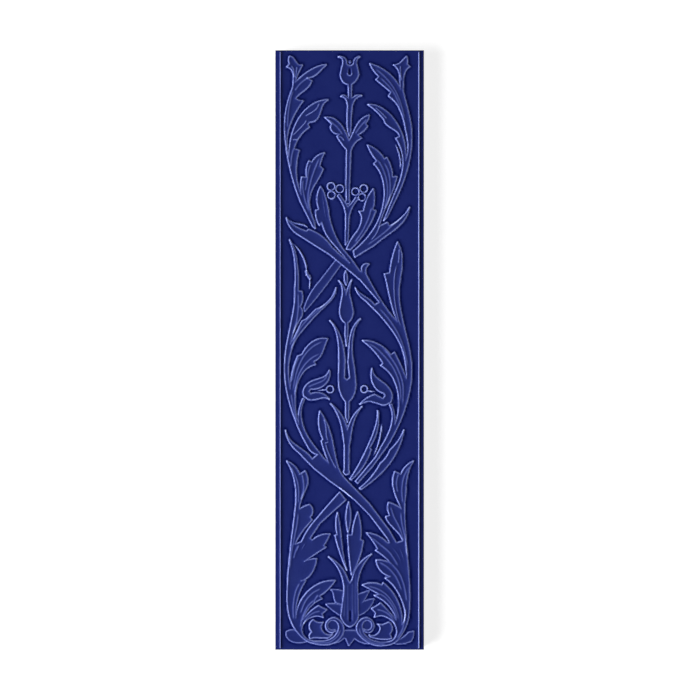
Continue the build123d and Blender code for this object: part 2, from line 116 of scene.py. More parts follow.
class Value:
    """A shader socket that arithmetic works on: each operation adds a Math node."""

    def __init__(self, shader: Shader, socket: bpy.types.NodeSocket) -> None:
        """Keep the socket and the shader that it belongs to."""
        self.shader = shader
        self.socket = socket

    def math(self, operation: str, *terms: Value | float) -> Value:
        """Add a Math node.

        Args:
            operation: The node's operation.
            terms: Its inputs, in order.

        Returns:
            The node's result.
        """
        return self.shader.node("ShaderNodeMath", {"operation": operation}, dict(enumerate(terms)))

    def __add__(self, other: Value | float) -> Value:
        """The sum."""
        return self.math("ADD", self, other)

    def __radd__(self, other: float) -> Value:
        """The sum, with the number first."""
        return self.math("ADD", other, self)

    def __sub__(self, other: Value | float) -> Value:
        """The difference."""
        return self.math("SUBTRACT", self, other)

    def __rsub__(self, other: float) -> Value:
        """The difference, with the number first."""
        return self.math("SUBTRACT", other, self)

    def __mul__(self, other: Value | float) -> Value:
        """The product."""
        return self.math("MULTIPLY", self, other)

    def __rmul__(self, other: float) -> Value:
        """The product, with the number first."""
        return self.math("MULTIPLY", other, self)

    def __truediv__(self, other: Value | float) -> Value:
        """The quotient."""
        return self.math("DIVIDE", self, other)

    def __rtruediv__(self, other: float) -> Value:
        """The quotient, with the number first."""
        return self.math("DIVIDE", other, self)

    def step(self, low: float, high: float) -> Value:
        """Run smoothly from 0 to 1 as the value passes from low to high.

        Args:
            low: Where the result leaves 0.
            high: Where it reaches 1.

        Returns:
            The smooth step.
        """
        settings = {"interpolation_type": "SMOOTHSTEP"}
        return self.shader.node("ShaderNodeMapRange", settings, {0: self, 1: low, 2: high})


class Shader:
    """The node tree of one material, or of the world."""

    def __init__(self, tree: bpy.types.NodeTree) -> None:
        """Empty the tree."""
        self.tree = tree
        tree.nodes.clear()

    def node(
        self,
        kind: str,
        settings: dict[str, Any] | None = None,
        inputs: dict[int | str, Any] | None = None,
        output: int | str = 0,
    ) -> Value:
        """Add a node.

        Args:
            kind: The node's type.
            settings: Its own settings. The stops of a colour ramp are (place, colour) pairs.
            inputs: A number, colour or value for each socket that is set.
            output: The socket that is handed back.

        Returns:
            That output socket.
        """
        made = self.tree.nodes.new(kind)
        for name, setting in (settings or {}).items():
            if name == "stops":
                self.set_stops(made.color_ramp, setting)
            else:
                setattr(made, name, setting)
        for name, given in (inputs or {}).items():
            if isinstance(given, Value):
                self.tree.links.new(given.socket, made.inputs[name])
            else:
                made.inputs[name].default_value = given
        return Value(self, made.outputs[output] if made.outputs else made.inputs[0])

    def set_stops(self, ramp: bpy.types.ColorRamp, stops: list[Stop]) -> None:
        """Give a colour ramp its stops.

        Args:
            ramp: The ramp, with Blender's two first stops.
            stops: The place and the colour of each stop, in order.
        """
        while len(ramp.elements) < len(stops):
            ramp.elements.new(1.0)
        for element, (place, colour) in zip(ramp.elements, stops):
            element.position = place
            element.color = colour

    def noise(self, scale: float, detail: float = 2.0) -> Value:
        """Add noise on the piece's own coordinates.

        Args:
            scale: Waves in a metre.
            detail: How many finer layers it has.

        Returns:
            The noise, from 0 to 1.
        """
        place = self.node("ShaderNodeTexCoord", output="Object")
        return self.node("ShaderNodeTexNoise", {}, {"Vector": place, "Scale": scale, "Detail": detail})

    def bump(self, height: Value, strength: float, distance: float) -> Value:
        """Add a bump.

        Args:
            height: The height, from 0 to 1.
            strength: How strongly it shows.
            distance: How high a height of 1 is, in metres.

        Returns:
            The bumped normal.
        """
        return self.node("ShaderNodeBump", {}, {"Height": height, "Strength": strength, "Distance": distance})

    def mix(self, share: Value, first: Value | Colour, second: Value | Colour) -> Value:
        """Mix two colours.

        Args:
            share: How much of the second one there is.
            first: The colour at 0.
            second: The colour at 1.

        Returns:
            The mixed colour.
        """
        return self.node("ShaderNodeMix", {"data_type": "RGBA"}, {0: share, 6: first, 7: second}, 2)


@dataclass(frozen=True)
class Glaze:
    """The cobalt glaze: pale where it ran thin over an edge, deep where it pooled at a foot.

    Each of its stops is a depth of glaze and the colour that it has there.
    """

    palest: Stop = (-0.45, srgb(186, 198, 246))
    rim: Stop = (-0.33, srgb(132, 144, 206))
    slope: Stop = (-0.18, srgb(68, 79, 143))
    leaf: Stop = (-0.07, srgb(37, 47, 107))
    ground: Stop = (0.0, srgb(27, 36, 96))
    pool: Stop = (0.14, srgb(3, 12, 70))
    thickest: float = 0.25
    roughness: float = 0.2
    refraction: float = 1.5
    mirror_level: float = 0.35
    cloud_scale: float = 140.0
    cloud_depth: float = 0.05
    cloud_roughness: float = 0.06
    speck_scale: float = 900.0
    speck_depth: float = 0.03
    ripple_scale: float = 420.0
    ripple_strength: float = 0.06
    ripple_height: float = 0.2 * MM

    def shader(self, nodes: Shader) -> Value:
        """Lay the glaze's nodes.

        Args:
            nodes: The material's tree.

        Returns:
            The glaze's surface.
        """
        thinnest = self.palest[0]
        span = self.thickest - thinnest
        depths = (self.palest, self.rim, self.slope, self.leaf, self.ground, self.pool)
        stops = [((depth - thinnest) / span, colour) for depth, colour in depths]
        depth = nodes.node("ShaderNodeAttribute", {"attribute_name": DEPTH}, output="Fac")
        cloud = nodes.noise(self.cloud_scale, detail=4.0) - 0.5
        speck = nodes.noise(self.speck_scale) - 0.5
        drifted = depth + cloud * self.cloud_depth + speck * self.speck_depth
        colour = nodes.node("ShaderNodeValToRGB", {"stops": stops}, {0: (drifted - thinnest) / span})
        ripple = nodes.noise(self.ripple_scale)
        return nodes.node(
            "ShaderNodeBsdfPrincipled",
            {},
            {
                "Base Color": colour,
                "Roughness": self.roughness + cloud * self.cloud_roughness,
                "IOR": self.refraction,
                "Specular IOR Level": self.mirror_level,
                "Normal": nodes.bump(ripple, self.ripple_strength, self.ripple_height),
            },
        )


@dataclass(frozen=True)
class Biscuit:
    """The bare fired porcelain of the sides and the back."""

    light: Colour = srgb(162, 155, 143)
    dark: Colour = srgb(136, 128, 116)
    cloud_scale: float = 60.0
    cloud_edges: tuple[float, float] = (0.35, 0.7)
    roughness: float = 0.78
    grain_scale: float = 2600.0
    grain_roughness: float = 0.1
    grain_strength: float = 0.35
    grain_height: float = 0.1 * MM

    def shader(self, nodes: Shader) -> Value:
        """Lay the biscuit's nodes.

        Args:
            nodes: The material's tree.

        Returns:
            The biscuit's surface.
        """
        cloud = nodes.noise(self.cloud_scale, detail=5.0)
        grain = nodes.noise(self.grain_scale, detail=3.0)
        return nodes.node(
            "ShaderNodeBsdfPrincipled",
            {},
            {
                "Base Color": nodes.mix(cloud.step(*self.cloud_edges), self.light, self.dark),
                "Roughness": self.roughness + grain * self.grain_roughness,
                "Normal": nodes.bump(grain, self.grain_strength, self.grain_height),
            },
        )


class Form(Enum):
    """What a stretch of the moulded face is, from the lowest to the highest."""

    UNDER = "under"
    LEAF = "leaf"
    LINE = "line"


@dataclass(frozen=True)
class Profile:
    """How a form rises from its edge: a slope, a rim, and a dish behind the rim, in millimetres."""

    height: float
    slope: float
    rim_drop: float = 0.0
    rim_run: float = 0.5
    dish_drop: float = 0.0
    dish_run: float = 1.2

    def rise(self, inside: np.ndarray) -> np.ndarray:
        """Work out the height over the ground, which is none outside the edge.

        Args:
            inside: How far each place lies inside the edge.

        Returns:
            The height at each place.
        """
        behind = np.maximum(inside - self.slope, 0)
        drop = self.rim_drop * ease(behind / self.rim_run)
        drop += self.dish_drop * (1 - np.exp(-behind / self.dish_run))
        return self.height * ease(inside / self.slope) - drop


class Mark(Enum):
    """What is tooled into the forms, along lines: its height and its spread, in millimetres."""

    FOLD = (0.24, 0.34)
    VEIN = (0.3, 0.24)
    SLOT = (-0.4, 0.35)
    DIMPLE = (-0.2, 0.45)
    FLUTE = (0.11, 0.4)


# The lines that are tooled into the forms, each as a few points from end to end.
MARKS: dict[Mark, list[Line]] = {
    Mark.VEIN: [
        [(-1.35, 139.8), (-0.7, 138.7), (0.1, 138.35), (0.9, 138.7), (1.45, 139.8)],
        [(-29.4, 143.4), (-28.2, 141.2), (-27.9, 137.6)],
        [(-26.6, 142.8), (-26.9, 140.0), (-27.4, 137.2)],
        [(25.6, 143.4), (25.7, 139.8), (26.3, 135.8)],
        [(-15.2, 124.6), (-16.6, 121.8), (-18.8, 120.0), (-22.4, 118.0)],
        [(-21.7, 116.3), (-22.6, 114.4), (-25.2, 111.6), (-28.6, 108.2)],
        [(13.0, 122.3), (16.0, 119.7), (18.9, 116.6)],
        [(-5.4, 107.6), (-4.0, 107.2), (-2.8, 105.6)],
        [(-26.4, 106.1), (-28.4, 106.1)],
        [(15.2, 62.6), (13.4, 58.6), (11.0, 55.6)],
        [(25.0, 51.0), (24.9, 46.4), (24.6, 43.8)],
        [(24.0, 43.6), (22.8, 38.6), (22.4, 32.0), (22.9, 24.0), (24.2, 17.0), (26.0, 11.4)],
        [(-13.0, -34.6), (-12.0, -38.6), (-11.7, -43.0), (-10.8, -46.0)],
        [(-10.8, -46.3), (-12.3, -47.0)],
        [(-12.2, -47.0), (-11.0, -51.0), (-8.8, -56.0), (-6.6, -60.0)],
        [(-5.4, -69.3), (-2.6, -71.4), (1.4, -74.6)],
    ],
    Mark.FOLD: [
        [(-20.6, 137.6), (-24.6, 134.6), (-27.6, 130.8)],
        [(-28.4, 131.0), (-29.8, 126.4), (-30.8, 120.0), (-31.4, 112.0)],
        [(12.6, 142.2), (17.6, 138.0), (22.0, 132.6), (25.4, 125.4), (28.0, 116.0)],
        [(15.4, 137.4), (19.4, 133.6), (23.0, 128.6), (25.8, 122.0)],
        [(3.0, 109.2), (5.4, 112.6), (8.6, 116.4)],
        [(-3.4, 108.6), (-6.6, 112.8), (-11.0, 116.5)],
        [(-28.3, 101.4), (-29.2, 97.4), (-29.7, 92.4)],
        [(-14.8, 97.6), (-17.0, 92.6), (-19.4, 85.6), (-20.9, 77.6), (-20.6, 69.0)],
        [(-19.6, 94.0), (-20.7, 90.4), (-21.2, 86.6), (-22.4, 80.0)],
        [(-23.4, 86.0), (-23.6, 82.0), (-22.6, 76.4), (-20.8, 70.4)],
        [(13.6, 96.6), (16.4, 92.4), (18.6, 86.0), (19.2, 79.0), (17.6, 70.6)],
        [(17.2, 95.0), (19.4, 90.6), (20.4, 85.0), (20.2, 78.0), (18.4, 70.0)],
        [(11.2, 72.4), (9.6, 66.6), (6.6, 60.2), (2.6, 54.2)],
        [(27.0, 68.2), (22.0, 63.2), (16.0, 58.0), (9.0, 53.0)],
        [(-25.9, 29.0), (-25.8, 22.0), (-26.6, 15.0), (-28.6, 8.0)],
        [(-12.0, 23.4), (-18.0, 18.2), (-23.2, 13.2), (-27.0, 7.0), (-29.8, 0.0)],
        [(-13.0, 4.6), (-18.6, 1.6), (-23.2, -3.4), (-26.6, -11.0), (-28.6, -21.0)],
        [(-14.6, -1.6), (-19.0, -4.0), (-23.0, -8.0), (-26.4, -14.6), (-27.8, -23.0)],
        [(-25.4, -3.4), (-27.6, -8.6), (-28.9, -15.6)],
        [(8.4, 3.9), (13.4, 1.0), (18.4, -4.0), (22.6, -10.0), (25.4, -18.0), (25.9, -27.0)],
        [(16.6, 1.2), (20.6, -3.4), (24.4, -9.6), (26.9, -17.6), (26.8, -28.0)],
        [(14.6, 21.6), (19.8, 15.6), (24.4, 8.4), (27.6, 0.0), (29.6, -9.0)],
        [(-29.4, -22.0), (-28.4, -29.0), (-26.6, -36.0)],
        [(-21.0, -18.6), (-17.0, -17.0), (-13.0, -15.2), (-10.9, -12.4)],
        [(-29.6, -58.6), (-26.8, -64.6), (-25.6, -71.0), (-25.9, -77.6)],
        [(-24.0, -62.4), (-23.2, -66.6), (-23.2, -70.6), (-24.6, -75.6)],
        [(-25.9, -81.6), (-26.3, -87.0), (-27.6, -93.6), (-29.2, -102.0), (-30.2, -111.0)],
        [(-25.6, -98.4), (-27.0, -101.0), (-28.2, -105.0)],
        [(-25.0, -117.2), (-27.2, -122.0), (-28.4, -129.0), (-28.2, -136.0)],
        [(-14.5, -120.3), (-18.6, -122.6), (-22.3, -126.8), (-24.8, -133.0)],
        [(-16.0, -123.6), (-17.2, -125.4), (-18.0, -127.2)],
        [(-17.6, -125.8), (-21.0, -129.2), (-23.6, -134.4), (-24.8, -140.0)],
        [(-14.6, -131.6), (-18.2, -132.6), (-21.6, -135.2), (-23.3, -138.6)],
        [(-19.5, -147.0), (-15.0, -147.6), (-10.0, -147.2), (-6.0, -144.2), (-4.4, -140.6)],
        [(30.2, -58.6), (27.4, -64.0), (26.4, -70.6), (26.9, -77.4)],
        [(24.6, -62.6), (23.7, -67.0), (24.3, -71.6)],
        [(20.6, -78.6), (22.4, -84.0), (25.4, -90.0), (27.7, -97.0)],
        [(25.8, -81.4), (26.4, -87.0), (27.9, -95.0), (28.9, -104.0)],
        [(11.0, -94.4), (15.4, -98.0), (20.6, -102.6), (24.6, -109.0)],
        [(14.6, -106.9), (19.0, -109.4), (23.4, -114.4), (26.4, -121.4)],
        [(20.6, -107.3), (24.6, -111.8), (27.4, -118.4), (28.9, -127.0)],
        [(8.6, -118.9), (14.0, -120.4), (19.0, -123.8), (23.2, -130.0), (25.2, -136.6)],
        [(14.6, -122.5), (18.4, -125.0), (22.0, -129.6), (24.4, -136.0)],
        [(13.6, -130.8), (17.4, -131.8), (20.8, -134.4), (23.2, -138.4)],
        [(28.3, -130.0), (27.8, -136.6), (26.2, -141.8), (23.6, -145.6)],
        [(4.9, -139.6), (5.6, -142.8), (8.4, -145.8), (13.0, -148.0), (18.6, -148.2)],
    ],
    Mark.SLOT: [
        [(0.0, 141.8), (0.0, 139.4)],
        [(0.4, -131.6), (0.4, -136.8)],
    ],
    Mark.DIMPLE: [
        [(-0.2, 145.5), (0.1, 145.5)],
    ],
    Mark.FLUTE: [
        [(-0.9, -117.6), (-0.9, -126.0), (-0.9, -137.0)],
        [(1.6, -117.0), (1.5, -127.0), (1.7, -137.2)],
        [(3.2, -112.0), (2.9, -122.0), (3.0, -134.0)],
        [(-2.2, -118.0), (-2.4, -127.0), (-2.8, -135.0)],
    ],
}


# Where one form runs on into the next without a step: a line down the join's middle, and its half width.
JOINS: list[tuple[Line, float]] = [
    ([(0.2, 129.5), (0.2, 125.5)], 0.75),
    ([(-21.7, 39.2), (-20.4, 36.6)], 0.35),
]


@dataclass
class Relief:
    """The moulded face as a map of heights, read from the flat tops of the CAD solid, in millimetres.

    A dab's edge lies at twice its spread: dab_edge is how hard the tool is still pressed there.
    """

    node: bpy.types.Object
    half_width: float
    half_length: float
    under: Profile = Profile(height=0.42, slope=0.75, rim_drop=0.1, dish_drop=0.14)
    leaf: Profile = Profile(height=0.62, slope=0.8, rim_drop=0.2, dish_drop=0.2)
    line: Profile = Profile(height=0.7, slope=0.55)
    grow: float = 0.66
    line_grow: float = 0.25
    vein_height: float = 0.2
    overlap: float = 0.5
    cell: float = 0.1
    reach: float = 2.4
    dab_edge: float = math.exp(-2)
    mark_step: float = 0.15
    mark_taper: float = 0.12
    mark_fade: float = 0.5
    mark_core: float = 0.45
    soften: float = 0.11
    levelling: float = 0.46
    glaze_gain: float = 0.9
    mark_gain: float = 0.36
    flank_drain: float = 0.26
    flank_fade: float = 0.5
    glaze_drain: float = 0.12
    pool_depth: float = 0.2
    pool_run: float = 0.6
    thinnest: float = -0.45
    level_gap: float = 0.01

    def __post_init__(self) -> None:
        """Read the solid and work out the maps."""
        self.profiles = {Form.UNDER: self.under, Form.LEAF: self.leaf, Form.LINE: self.line}
        self.shape = round(2 * self.half_length / self.cell), round(2 * self.half_width / self.cell)
        self.triangles = self.read_triangles()
        self.field, *tops = self.read_levels()
        under, leaf, line = (self.mask_at(top) for top in tops)
        for middle, half in JOINS:
            leaf |= self.drawn([middle], half / 2) > self.dab_edge
        veins = line & (self.distance(leaf) < self.overlap)
        leaf |= veins
        self.edges = {
            Form.UNDER: self.signed(under | leaf) + self.grow,
            Form.LEAF: self.signed(leaf) + self.grow,
            Form.LINE: self.signed(line & ~veins) + self.line_grow,
        }
        marks = {mark: self.drawn(lines, mark.value[1], self.mark_taper) for mark, lines in MARKS.items()}
        tooled = sum(mark.value[0] * drawn for mark, drawn in marks.items())
        tooled += self.vein_height * ease(self.signed(veins) / self.line.slope)
        body = np.max([profile.rise(self.edges[form]) for form, profile in self.profiles.items()], axis=0)
        body += tooled * ease(self.edges[Form.UNDER] / self.mark_fade)
        self.height = self.blur(body, self.soften)
        self.depth = self.glazed(body, tooled)
        rims = [np.abs(self.edges[form] - profile.slope) for form, profile in self.profiles.items()]
        cores = np.any([drawn > self.mark_core for drawn in marks.values()], axis=0) | veins
        self.to_edge = np.minimum(np.min(rims, axis=0), self.distance(cores))

    def glazed(self, body: np.ndarray, tooled: np.ndarray) -> np.ndarray:
        """Let the glaze run off the crests, flanks and tooled lines, and pool at the feet.

        Args:
            body: The heights of the bare body.
            tooled: The heights of what is tooled into it.

        Returns:
            The depth of glaze, against its depth on the ground.
        """
        depth = self.glaze_gain * (self.blur(body, self.levelling) - self.height)
        shares = [self.edges[form] / profile.slope for form, profile in self.profiles.items()]
        flanks = [ease(share / self.flank_fade) * ease((1 - share) / self.flank_fade) for share in shares]
        depth -= self.flank_drain * np.max(flanks, axis=0)
        depth -= self.glaze_drain * self.height + self.mark_gain * tooled
        outside = np.minimum(self.edges[Form.UNDER], 0)
        pool = np.where(outside < 0, self.pool_depth * np.exp(outside / self.pool_run), 0)
        return np.maximum(depth + self.blur(pool, self.soften), self.thinnest)

    def signed(self, mask: np.ndarray) -> np.ndarray:
        """How far each cell lies inside a mask's edge, or below zero outside it."""
        return self.distance(~mask) - self.distance(mask)

    def drawn(self, lines: list[Line], spread: float, taper: float = 0.0) -> np.ndarray:
        """Draw some lines with a soft round tool.

        Args:
            lines: The points of each line.
            spread: The tool's spread.
            taper: The share of a line over which it runs out at each end.

        Returns:
            How hard the tool was pressed in each cell, from 0 to 1.
        """
        drawn = np.zeros(self.shape)
        for line in lines:
            places = smooth_line(line, self.mark_step)
            share = np.linspace(0, 1, len(places))
            ends = ease(np.minimum(share, 1 - share) / taper) if taper else np.ones(len(places))
            for place, end in zip(places, ends):
                self.dab(drawn, place, spread, end)
        return drawn

    def dab(self, drawn: np.ndarray, place: np.ndarray, spread: float, weight: float) -> None:
        """Press one soft round dab into a map, where it isn't pressed harder yet.

        Args:
            drawn: The map.
            place: The dab's middle.
            spread: Its spread.
            weight: How hard it is pressed.
        """
        middle = (place + [self.half_width, self.half_length]) / self.cell - 0.5
        span = math.ceil(3 * spread / self.cell)
        low = np.maximum(np.round(middle).astype(int) - span, 0)
        part = drawn[low[1]:low[1] + 2 * span, low[0]:low[0] + 2 * span]
        row, column = np.ogrid[:part.shape[0], :part.shape[1]]
        off = (row + low[1] - middle[1]) ** 2 + (column + low[0] - middle[0]) ** 2
        np.maximum(part, weight * np.exp(-0.5 * off * (self.cell / spread) ** 2), out=part)

    def read_triangles(self) -> np.ndarray:
        """Find the node's triangles that lie flat and face up.

        Returns:
            The corners of each such triangle, in millimetres.
        """
        mesh = self.node.data
        mesh.calc_loop_triangles()
        places = np.empty(len(mesh.vertices) * 3, np.float32)
        mesh.vertices.foreach_get("co", places)
        corners = np.empty(len(mesh.loop_triangles) * 3, np.int32)
        mesh.loop_triangles.foreach_get("vertices", corners)
        triangles = places.reshape(-1, 3)[corners.reshape(-1, 3)] / MM
        flat = np.ptp(triangles[:, :, 2], axis=1) < self.level_gap
        normal = np.cross(triangles[:, 1] - triangles[:, 0], triangles[:, 2] - triangles[:, 0])
        return triangles[flat & (normal[:, 2] > 0)]

    def read_levels(self) -> list[float]:
        """The heights of the field and, above it, of the tops of each form."""
        levels = np.unique(np.round(self.triangles[:, 0, 2], 2))
        return [float(level) for level in levels[-1 - len(Form):]]

    def mask_at(self, level: float) -> np.ndarray:
        """Fill the flat tops at one level.

        Args:
            level: Their height.

        Returns:
            True in each cell of the map that such a top covers.
        """
        rows, columns = self.shape
        mask = np.zeros(self.shape, bool)
        chosen = self.triangles[np.abs(self.triangles[:, 0, 2] - level) < self.level_gap]
        middle = np.array([self.half_width, self.half_length])
        for corners in (chosen[:, :, :2] + middle) / self.cell - 0.5:
            low = np.maximum(np.ceil(corners.min(axis=0)).astype(int), 0)
            high = np.minimum(np.floor(corners.max(axis=0)).astype(int) + 1, (columns, rows))
            if (high <= low).any():
                continue
            x, y = np.meshgrid(np.arange(low[0], high[0]), np.arange(low[1], high[1]))
            inside = np.ones(x.shape, bool)
            for start, end in zip(corners, np.roll(corners, -1, axis=0)):
                run, rise = end - start
                inside &= run * (y - start[1]) - rise * (x - start[0]) >= -1e-6
            mask[low[1]:high[1], low[0]:high[0]] |= inside
        return mask

    def distance(self, mask: np.ndarray) -> np.ndarray:
        """How far each cell lies from a mask, up to the map's reach.

        Args:
            mask: The cells to measure from.

        Returns:
            The distances, in millimetres.
        """
        span = round(self.reach / self.cell)
        along = np.where(mask, 0.0, float(span)).astype(np.float32)
        for _ in range(span):
            along[:, 1:] = np.minimum(along[:, 1:], along[:, :-1] + 1)
            along[:, :-1] = np.minimum(along[:, :-1], along[:, 1:] + 1)
        square = along ** 2
        nearest = square.copy()
        for shift in range(1, span + 1):
            nearest[shift:] = np.minimum(nearest[shift:], square[:-shift] + shift ** 2)
            nearest[:-shift] = np.minimum(nearest[:-shift], square[shift:] + shift ** 2)
        return np.minimum(np.sqrt(nearest), span) * self.cell

    def blur(self, heights: np.ndarray, spread: float) -> np.ndarray:
        """Level a map as a glaze does.

        Args:
            heights: The map.
            spread: The width of the levelling.

        Returns:
            The softer map.
        """
        span = math.ceil(3 * spread / self.cell)
        taps = np.exp(-0.5 * (np.arange(-span, span + 1) * self.cell / spread) ** 2)
        taps /= taps.sum()
        for axis in (0, 1):
            padded = np.pad(heights, [(span, span) if axis == n else (0, 0) for n in (0, 1)], mode="edge")
            size = heights.shape[axis]
            heights = sum(tap * np.take(padded, range(n, n + size), axis) for n, tap in enumerate(taps))
        return heights

    def read(self, layer: np.ndarray, places: np.ndarray) -> np.ndarray:
        """Read a map between its cells.

        Args:
            layer: The map.
            places: The points to read at, in millimetres.

        Returns:
            The map's value at each point.
        """
        spot = (places + [self.half_width, self.half_length]) / self.cell - 0.5
        spot = np.clip(spot, 0, np.array(layer.shape[::-1]) - 1.001)
        base = spot.astype(int)
        x, y = (spot - base).T
        column, row = base.T
        near = layer[row, column] * (1 - x) + layer[row, column + 1] * x
        far = layer[row + 1, column] * (1 - x) + layer[row + 1, column + 1] * x
        return near * (1 - y) + far * y


@dataclass
class Tile:
    """The tile: one piece of glazed porcelain, in millimetres until its mesh is made."""

    node: bpy.types.Object
    low: np.ndarray
    high: np.ndarray
    bead_inset: float = 2.55
    bead_width: float = 2.0
    bead_height: float = 0.9
    bead_margin: float = 0.45
    bead_cell: float = 0.2
    bead_fade: float = 0.8
    bead_taper: int = 3
    bead_pool: float = 0.12
    bead_foot: float = 0.15
    bead_crest: tuple[float, float] = (0.6, 0.9)
    # Glaze run off the left and right crests; the right's larger share is a painted highlight on the right
    # bead.
    bead_crest_drain_and_highlight: tuple[float, float] = (0.42, 0.52)
    end_margin: float = 0.7
    end_cell: float = 0.35
    coarse_cell: float = 1.4
    bands: tuple[float, ...] = (1.5, 0.6)
    pull: float = 0.4
    arris: float = 0.4
    arris_rings: int = 5
    # Glaze depth given to the arris and the seam below it: the darkest glaze colour, painted shade that dulls
    # the arris's highlight.
    arris_shade_depth: float = 0.16
    seam_drop: float = 0.6
    sharp: float = math.radians(30)
    slack: float = 0.01
    glaze_lap: float = 4.2
    lap_fade: float = 0.15
    lap_wander: float = 2.4
    lap_scale: float = 110.0

    def __post_init__(self) -> None:
        """Take the tile's half sizes and its relief from the CAD solid."""
        self.half_width = float(self.high[0])
        self.half_length = float(self.high[1])
        self.relief = Relief(self.node, self.half_width, self.half_length)

    def spread(self, half: float, margin: float, fine: float) -> np.ndarray:
        """Places of the grid's lines along one side: fine within a margin of each end, coarse between.

        Args:
            half: Half the length of the flat face.
            margin: The width of the fine zone.
            fine: The size of its cells.

        Returns:
            The places, in order.
        """
        inner = half - margin
        edge = np.linspace(inner, half, round(margin / fine) + 1)
        middle = np.linspace(-inner, inner, round(2 * inner / self.coarse_cell) + 1)
        return np.concatenate([-edge[::-1], middle[1:-1], edge])

    def bead_rise(self, places: np.ndarray) -> np.ndarray:
        """Work out the height of the two side beads, which run out at both ends of the tile.

        Args:
            places: The points to work it out at.

        Returns:
            The height of the beads over the field.
        """
        middle = self.half_width - self.bead_inset
        off = np.abs(np.abs(places[:, 0]) - middle) / (self.bead_width / 2)
        crown = self.bead_height * np.cos(np.clip(off, 0, 1) * math.pi / 2) ** self.bead_taper
        end = self.half_length - self.arris
        return crown * ease((end - np.abs(places[:, 1])) / self.bead_fade)

    def bead_glaze(self, places: np.ndarray) -> np.ndarray:
        """How much deeper the glaze is on the beads: it pools at their feet and runs off their crests, and
        the right bead's crest is paler still, a painted highlight.

        Args:
            places: The points to work it out at.

        Returns:
            The added depth of glaze.
        """
        share = self.bead_rise(places) / self.bead_height
        start, end = self.bead_crest
        left, right = self.bead_crest_drain_and_highlight
        # The right bead's crest is made paler than the left's: a painted highlight.
        drain = np.where(places[:, 0] > 0, right, left) * ease((share - start) / (end - start))
        return self.bead_pool * ease(share / self.bead_foot) - drain

    def lower_body(self, mesh: bmesh.types.BMesh) -> list[bmesh.types.BMVert]:
        """Keep the sides and the keyed back of the CAD solid.

        Args:
            mesh: The mesh to start.

        Returns:
            The corners round the open top of the sides.
        """
        mesh.from_mesh(self.node.data)
        bmesh.ops.remove_doubles(mesh, verts=mesh.verts, dist=0.1 * self.slack * MM)
        cut = (self.relief.field - self.seam_drop) * MM
        whole = list(mesh.verts) + list(mesh.edges) + list(mesh.faces)
        bmesh.ops.bisect_plane(mesh, geom=whole, plane_co=(0, 0, cut), plane_no=(0, 0, 1), clear_outer=True)
        rim = {vert for edge in mesh.edges if edge.is_boundary for vert in edge.verts}
        corner = (self.half_width - self.slack) * MM, (self.half_length - self.slack) * MM
        between = [v for v in rim if abs(v.co.x) < corner[0] or abs(v.co.y) < corner[1]]
        bmesh.ops.dissolve_verts(mesh, verts=between)
        for edge in mesh.edges:
            edge.smooth = edge.is_boundary or edge.calc_face_angle(0.0) < self.sharp
        return [vert for vert in rim if vert.is_valid]

    def build(self) -> bpy.types.Object:
        """Model the tile and put it in the scene.

        Returns:
            The tile's object.
        """
        mesh = bmesh.new()
        self.lower_body(mesh)
        face = self.face(mesh)
        self.close(mesh, face)
        bmesh.ops.recalc_face_normals(mesh, faces=mesh.faces)
        data = bpy.data.meshes.new("glazed_tile")
        mesh.to_mesh(data)
        mesh.free()
        tile = bpy.data.objects.new("glazed_tile", data)
        bpy.context.scene.collection.objects.link(tile)
        return tile

    def face(self, mesh: bmesh.types.BMesh) -> list[bmesh.types.BMVert]:
        """Model the glazed face: a grid, finer along the relief, raised to the relief's height.

        Args:
            mesh: The mesh to add to.

        Returns:
            The face's corners.
        """
        depth = mesh.verts.layers.float.new(DEPTH)
        flat = self.half_width - self.arris, self.half_length - self.arris
        bead_zone = self.bead_inset + self.bead_width / 2 + self.bead_margin - self.arris
        columns = self.spread(flat[0], bead_zone, self.bead_cell)
        rows = self.spread(flat[1], self.end_margin, self.end_cell)
        self.counts = len(columns) - 1, len(rows) - 1
        grid = bmesh.ops.create_grid(mesh, x_segments=self.counts[0], y_segments=self.counts[1], size=1.0)
        for vert in grid["verts"]:
            vert.co.x = columns[round((vert.co.x + 1) / 2 * self.counts[0])] * MM
            vert.co.y = rows[round((vert.co.y + 1) / 2 * self.counts[1])] * MM
            vert.co.z = self.relief.field * MM
        faces = self.face_cells(mesh)
        inner = (flat[0] - bead_zone) * MM, (flat[1] - self.end_margin) * MM
        for band in self.bands:
            faces = self.refine(mesh, faces, band, inner)
        verts = list({vert for face in faces for vert in face.verts})
        places = self.settle(np.array([vert.co[:2] for vert in verts]) / MM)
        rise = self.relief.read(self.relief.height, places)
        rise += self.bead_rise(places)
        glaze = self.relief.read(self.relief.depth, places) + self.bead_glaze(places)
        for vert, (x, y), lift, thick in zip(verts, places, rise, glaze):
            vert.co += Vector((x * MM - vert.co.x, y * MM - vert.co.y, lift * MM))
            vert[depth] = thick
        for face in faces:
            face.smooth = True
        return verts

    def refine(
        self,
        mesh: bmesh.types.BMesh,
        faces: list[bmesh.types.BMFace],
        band: float,
        inner: tuple[float, float],
    ) -> list[bmesh.types.BMFace]:
        """Halve the cells that lie near an edge of the relief.

        Args:
            mesh: The mesh.
            faces: The face's cells.
            band: How near is near.
            inner: Half the sizes of the zone that the relief lies in.

        Returns:
            All the cells of the face.
        """
        middles = np.array([face.calc_center_median()[:2] for face in faces])
        near = self.relief.read(self.relief.to_edge, middles / MM) < band
        near &= (np.abs(middles) < inner).all(axis=1)
        edges = {edge for face, chosen in zip(faces, near) if chosen for edge in face.edges}
        bmesh.ops.subdivide_edges(mesh, edges=list(edges), cuts=1, use_grid_fill=True)
        return self.face_cells(mesh)

